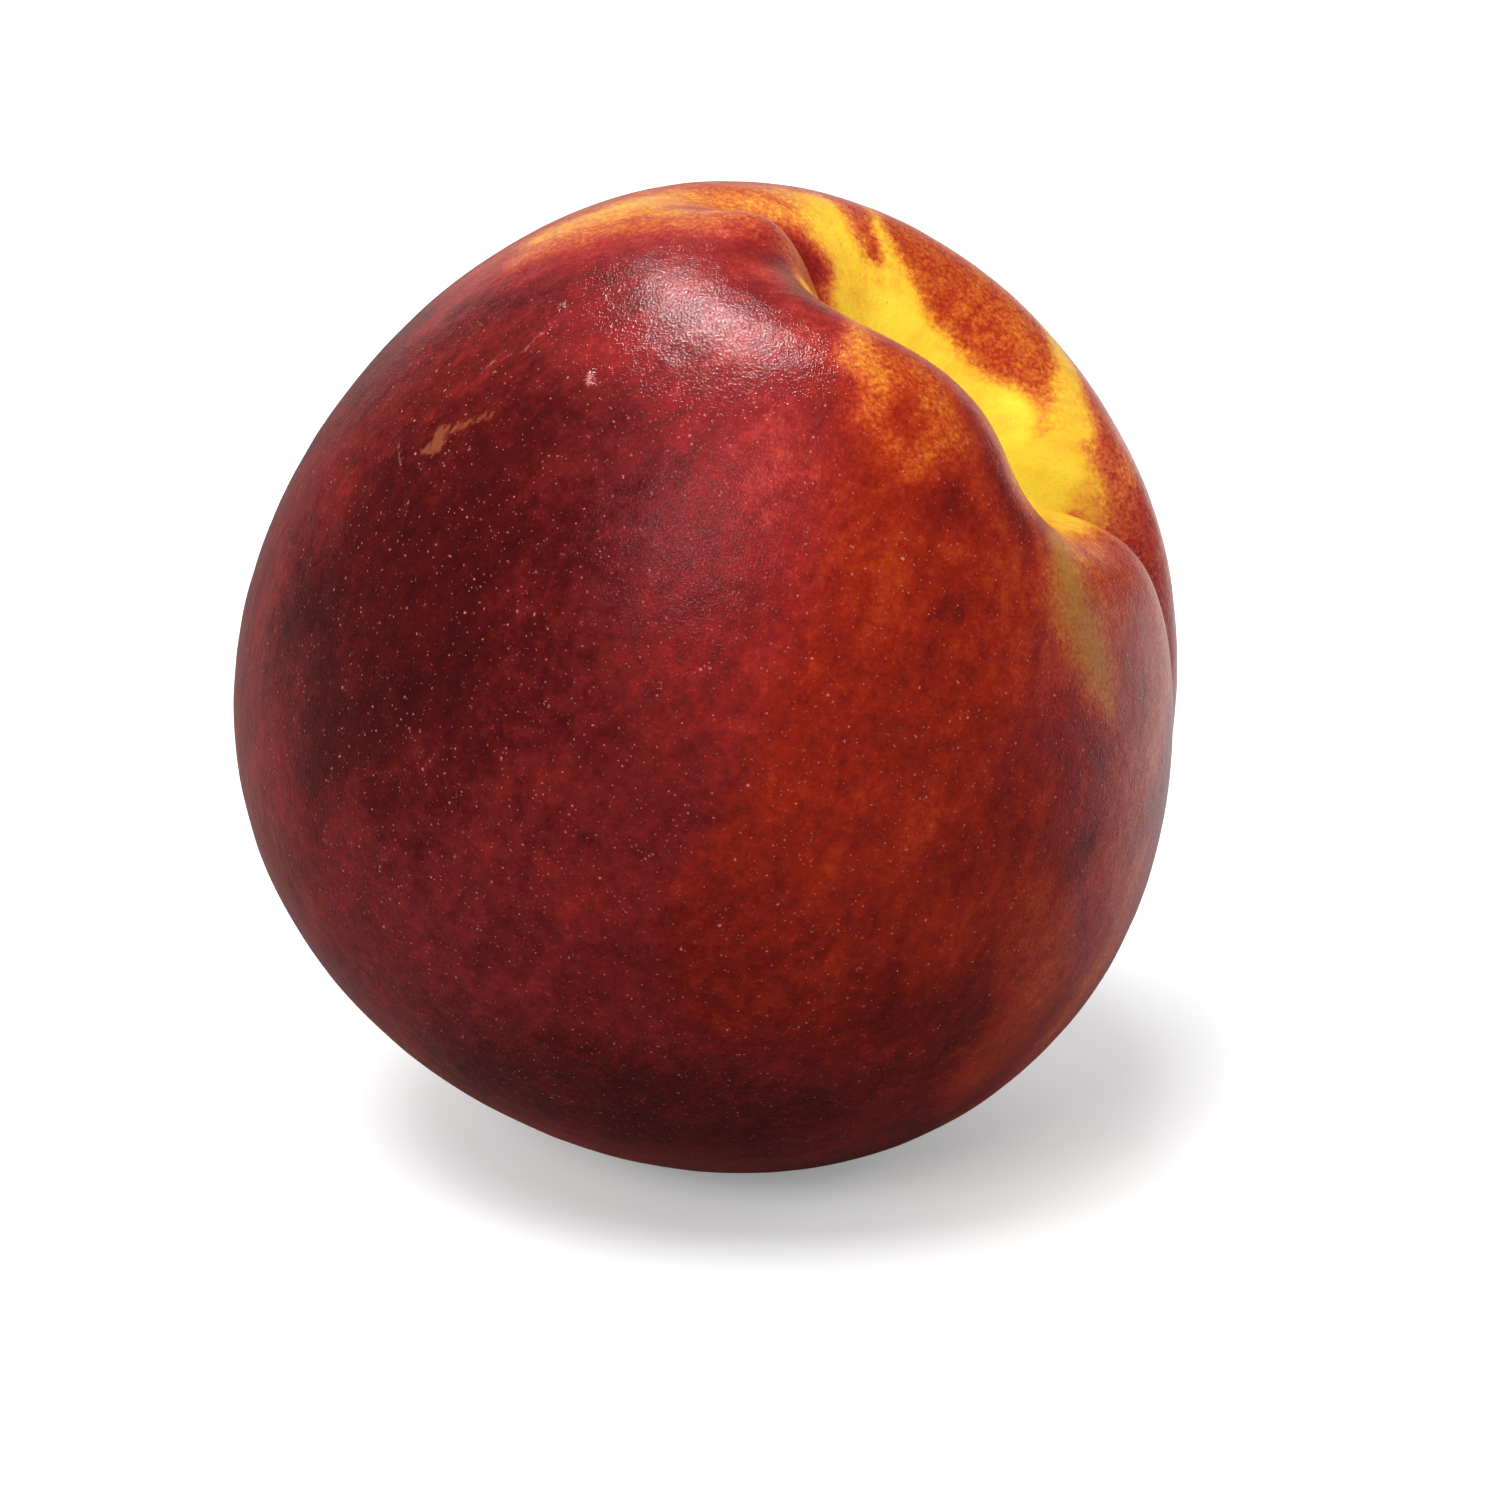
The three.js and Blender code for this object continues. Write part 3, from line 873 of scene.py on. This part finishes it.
@dataclass
class Nectarine:
    """The whole fruit: one closed skin, coloured and finished.

    Attributes:
        shape: its form.
        pose: how it lies.
        colouring: its markings.
        finish: its skin.
        cuts_along_edge: how often each edge of the starting cube is cut.
        peel_radius: its usual radius, which degrees on the skin are measured with, in millimetres.
        relief: the height and the size of each kind of low lump on the skin, in millimetres.
        middle: where its middle comes to lie, in metres.
    """

    shape: FruitShape = field(default_factory=FruitShape)
    pose: RestingPose = field(default_factory=RestingPose)
    colouring: Colouring = field(default_factory=lambda: Colouring(nectarine_strokes()))
    finish: RipeSkin = field(default_factory=RipeSkin)
    cuts_along_edge: int = 100
    peel_radius: float = 34.0
    relief: tuple[tuple[float, float], ...] = ((0.045, 4.2), (0.022, 1.9))
    middle: Vector = field(default_factory=Vector)

    def build(self) -> bpy.types.Object:
        """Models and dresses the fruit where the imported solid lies.

        Returns:
            The finished piece.
        """
        piece = self._ball()
        at = self._directions(piece)
        self._shape_skin(piece, at)
        self._colour(piece, at)
        piece.data.materials.append(self.finish.material())
        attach(piece, BODY)
        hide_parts(NODE)
        LOG.info("%s: %d faces", piece.name, len(piece.data.polygons))
        return piece

    def _ball(self) -> bpy.types.Object:
        """Models a ball: a cube, subdivided and rounded.

        Returns:
            The ball, at the origin.
        """
        bpy.ops.object.select_all(action="DESELECT")
        bpy.ops.mesh.primitive_cube_add(size=2 * self.peel_radius * MM, location=(0, 0, 0))
        piece = bpy.context.object
        piece.name = piece.data.name = "nectarine_skin"
        bpy.ops.object.mode_set(mode="EDIT")
        bpy.ops.mesh.select_all(action="SELECT")
        bpy.ops.mesh.subdivide(number_cuts=self.cuts_along_edge)
        bpy.ops.transform.tosphere(value=1.0)
        bpy.ops.object.mode_set(mode="OBJECT")
        bpy.ops.object.shade_smooth()
        return piece

    def _directions(self, piece: bpy.types.Object) -> Directions:
        """Spreads the ball's points so that its faces are alike in size.

        Args:
            piece: the ball.

        Returns:
            The direction of each of its points.
        """
        points = np.empty(len(piece.data.vertices) * 3)
        piece.data.vertices.foreach_get("co", points)
        points = points.reshape(-1, 3)
        on_cube = points / np.abs(points).max(axis=1, keepdims=True)
        spread = np.tan(on_cube * np.pi / 4)
        return Directions(spread / np.linalg.norm(spread, axis=1, keepdims=True))

    def _shape_skin(self, piece: bpy.types.Object, at: Directions) -> None:
        """Moves the ball's points to the skin, in its resting pose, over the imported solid.

        Args:
            piece: the ball.
            at: the direction of each of its points.
        """
        radius = self.shape.skin_radius(at)
        relief = sum(
            height * soft_noise(at.unit * self.peel_radius, size)[:, 0] for height, size in self.relief
        )
        skin = at.unit * (radius + relief)[:, None]
        resting, lift = self.pose.press_flat(skin @ self.pose.turn().T)
        low, high = (np.array(corner) / MM for corner in CAD_BOX)
        shift = (low + high)[:2] / 2 - (resting.min(0) + resting.max(0))[:2] / 2
        resting[:, :2] += shift
        self.middle = Vector((*shift, lift)) * MM
        piece.data.vertices.foreach_set("co", (resting * MM).ravel())
        piece.data.update()

    def _colour(self, piece: bpy.types.Object, at: Directions) -> None:
        """Stores the colouring and the places on the peel as attributes of the skin.

        Args:
            piece: the shaped fruit.
            at: the direction of each of its points.
        """
        for name, values in self.colouring.fields(at).items():
            attribute = piece.data.attributes.new(name.value, "FLOAT", "POINT")
            attribute.data.foreach_set("value", values)
        turn = np.radians(at.azimuth)
        peel = self.peel_radius * np.stack([np.cos(turn), np.sin(turn), np.radians(at.polar)], axis=1)
        attribute = piece.data.attributes.new(PEEL, "FLOAT_VECTOR", "POINT")
        attribute.data.foreach_set("vector", peel.ravel())


# ---- The studio ----


class Task(Enum):
    """What a lamp is there for."""

    LIGHT = "lights the fruit and the floor"
    GLINT = "is only mirrored in the skin"


@dataclass(frozen=True)
class SoftBox:
    """A soft lamp that faces the fruit.

    Attributes:
        name: its name in the scene.
        task: what it is there for.
        size: its width and depth in metres.
        power: its power in watts.
        bearing: degrees round from the front, positive to the right.
        height_angle: degrees above the surface.
        distance: metres from the fruit.
        along: bearing that its depth runs along, in degrees.
    """

    name: str
    task: Task
    size: tuple[float, float]
    power: float
    bearing: float
    height_angle: float
    distance: float
    along: float = 0.0

    def place(self, aim: Vector) -> None:
        """Adds the lamp.

        Args:
            aim: the place it is turned to face.
        """
        bearing, height, along = np.radians((self.bearing, self.height_angle, self.along))
        way = Vector(
            (np.sin(bearing) * np.cos(height), -np.cos(bearing) * np.cos(height), np.sin(height))
        )
        data = bpy.data.lights.new(self.name, "AREA")
        data.shape = "RECTANGLE"
        data.size, data.size_y = self.size
        data.energy = self.power
        lamp = bpy.data.objects.new(self.name, data)
        lamp.location = aim + way * self.distance
        run = Vector((np.sin(along), -np.cos(along), 0))
        depth = (run - way * run.dot(way)).normalized()
        lamp.rotation_euler = Matrix((depth.cross(way), depth, way)).transposed().to_euler()
        lamp.visible_diffuse = self.task is Task.LIGHT
        lamp.visible_glossy = self.task is Task.GLINT
        bpy.context.collection.objects.link(lamp)


@dataclass
class WhiteFloor:
    """A sheet of white acrylic, softly lit from below, so that its shadows stay pale.

    It bounces less light, and is mirrored less, in front of the fruit than behind it. The pairs
    in_front and behind say how brightly it bounces and how brightly it is mirrored.
    """

    size: float = 8.0
    acrylic: str = "#e6e6e6"
    glow: float = 0.25
    in_front: tuple[float, float] = (0.35, 0.05)
    behind: tuple[float, float] = (0.95, 0.12)
    to_the_back: tuple[float, float] = (-0.05, 0.08)  # where the one turns into the other, in metres
    mirrored_right: float = 0.7  # how bright its far right is mirrored
    to_the_right: tuple[float, float] = (0.02, 0.08)

    def build(self) -> None:
        """Lays the sheet under the fruit."""
        bpy.ops.object.select_all(action="DESELECT")
        bpy.ops.mesh.primitive_plane_add(size=self.size, location=(0, 0, 0))
        floor = bpy.context.object
        floor.name = floor.data.name = "white_floor"
        floor.data.materials.append(self._material())

    def _material(self) -> bpy.types.Material:
        """Builds the acrylic.

        Returns:
            The finished material.
        """
        acrylic = bpy.data.materials.new("white_acrylic")
        acrylic.use_nodes = True
        tree = acrylic.node_tree
        tree.nodes.clear()
        path = add_node(tree, "LightPath").outputs
        place = add_node(tree, "TexCoord").outputs["Object"]
        apart = add_node(tree, "SeparateXYZ", (place,)).outputs
        lit = add_node(tree, "BsdfDiffuse", {"Color": linear(self.acrylic)})
        glow = add_node(tree, "Emission", {"Color": (1, 1, 1, 1), "Strength": self.glow})
        seen = add_node(tree, "AddShader", (lit, glow))
        bounced, mirrored = self.behind
        to_the_right = (apart["X"], *self.to_the_right, mirrored, self.mirrored_right)
        mirrored = add_node(tree, "MapRange", to_the_right)
        front, behind = (
            add_node(tree, "MapRange", {0: path["Is Glossy Ray"], 3: low, 4: high})
            for low, high in (self.in_front, (bounced, mirrored))
        )
        dulled = (apart["Y"], *self.to_the_back, front, behind)
        dulled = add_node(tree, "MapRange", dulled, interpolation_type="SMOOTHSTEP")
        bounce = add_node(tree, "BsdfDiffuse", {"Color": dulled})
        both = add_node(tree, "MixShader", (path["Is Camera Ray"], bounce, seen))
        add_node(tree, "OutputMaterial", {"Surface": both})
        return acrylic


@dataclass
class WhiteSweep:
    """A white sweep behind the fruit in a dim room, with an even fill.

    Spans are on the direction looked in: its sideways, backward or upward part, from -1 to 1.
    """

    brightness: float = 1.2
    mirrored_from: float = 0.72  # how far back it starts where it is mirrored
    lights_from: float = 0.1  # and where it lights
    full_at: float = 0.96
    mirrored_low: Span = (0.4, 0.1, 0.0, 1.0)  # only its lower part is mirrored
    mirrored_across: Span = (-0.55, -0.35, 0.0, 1.0)  # and not its left
    mirrored: float = 0.5
    room: float = 0.04  # the dim room as it is mirrored
    fill: Span = (0.4, 0.9, 0.32, 0.6)  # the even fill, in the middle and at the sides

    def build(self) -> None:
        """Hangs the sweep as the scene's world."""
        world = bpy.data.worlds.new("white_sweep")
        world.use_nodes = True
        bpy.context.scene.world = world
        tree = world.node_tree
        tree.nodes.clear()
        path = add_node(tree, "LightPath").outputs
        way = add_node(tree, "TexCoord").outputs["Generated"]
        apart = add_node(tree, "SeparateXYZ", (way,)).outputs
        aside = add_node(tree, "Math", (apart["X"],), operation="ABSOLUTE")
        start = {0: path["Is Diffuse Ray"], 2: self.mirrored_from, 3: self.lights_from}
        start = add_node(tree, "Mix", start)
        sweep, low, across, fill = (
            add_node(tree, "MapRange", (value, *span), interpolation_type="SMOOTHSTEP")
            for value, span in (
                (apart["Y"], (start, self.full_at, 0.0, self.brightness)),
                (apart["Z"], self.mirrored_low),
                (apart["X"], self.mirrored_across),
                (aside, self.fill),
            )
        )
        low = add_node(tree, "Math", (low, across), operation="MULTIPLY")
        low = add_node(tree, "Math", (low, self.mirrored), operation="MULTIPLY")
        mirrored = add_node(tree, "Math", (sweep, low, self.room), operation="MULTIPLY_ADD")
        lights = add_node(tree, "Math", (sweep, fill), operation="ADD")
        unseen = add_node(tree, "Mix", {0: path["Is Diffuse Ray"], 2: mirrored, 3: lights})
        strength = add_node(tree, "Mix", {0: path["Is Camera Ray"], 2: unseen, 3: 1.0})
        light = add_node(tree, "Background", {"Color": (1, 1, 1, 1), "Strength": strength})
        add_node(tree, "OutputWorld", {"Surface": light})


@dataclass
class Studio:
    """A white floor and sweep, soft boxes that light the fruit or are mirrored in it, and the camera."""

    floor: WhiteFloor = field(default_factory=WhiteFloor)
    sweep: WhiteSweep = field(default_factory=WhiteSweep)
    lamps: tuple[SoftBox, ...] = (
        SoftBox("top_box", Task.LIGHT, (1.7, 1.7), 104.0, -34, 67, 3.2),
        SoftBox("side_box", Task.LIGHT, (1.2, 1.2), 55.0, -28, 28, 3.2),
        SoftBox("right_box", Task.LIGHT, (1.0, 1.0), 13.0, 105, 22, 3.2),
        SoftBox("long_glint", Task.GLINT, (0.08, 0.42), 7.6, -151, 76, 0.8, 15),
        SoftBox("front_glint", Task.GLINT, (0.12, 0.24), 1.0, -15, 40, 0.9),
    )
    camera_height_angle: float = 18.0
    camera_distance_mm: float = 420.0
    camera_clip_start: float = 0.01
    pixels_per_mm: float = 13.79
    picture_px: float = 1500.0
    sensor_mm: float = 36.0
    aim_right_mm: float = 3.5
    aim_down_mm: float = 3.0

    def build(self, middle: Vector) -> None:
        """Sets up the studio.

        Args:
            middle: the fruit's middle, which the lamps face.
        """
        self.floor.build()
        self.sweep.build()
        for lamp in self.lamps:
            lamp.place(middle)
        self._camera(middle)
        bpy.context.scene.view_settings.view_transform = "Standard"
        LOG.info("studio: floor, sweep, %d lamps and a camera", len(self.lamps))

    def _camera(self, middle: Vector) -> None:
        """Stands a camera in front of the fruit, looking down on it a little.

        Args:
            middle: the fruit's middle, which it looks at, a little to one side.
        """
        height = np.radians(self.camera_height_angle)
        back = Vector((0, -np.cos(height), np.sin(height)))
        up = Vector((0, np.sin(height), np.cos(height)))
        right = Vector((1, 0, 0))
        data = bpy.data.cameras.new("camera")
        data.sensor_width = self.sensor_mm
        data.lens = self.pixels_per_mm * self.camera_distance_mm / self.picture_px * self.sensor_mm
        data.clip_start = self.camera_clip_start
        camera = bpy.data.objects.new("camera", data)
        camera.location = middle + back * self.camera_distance_mm * MM
        aim = middle + (right * self.aim_right_mm - up * self.aim_down_mm) * MM
        camera.rotation_euler = (aim - camera.location).to_track_quat("-Z", "Y").to_euler()
        bpy.context.collection.objects.link(camera)
        bpy.context.scene.camera = camera


def main() -> None:
    """Builds the fruit and the studio, and logs the fruit's faces and the studio's parts."""
    logging.basicConfig(level=logging.INFO, format="%(name)s: %(message)s")
    fruit = Nectarine()
    fruit.build()
    Studio().build(fruit.middle)


if __name__ == "__main__":
    main()
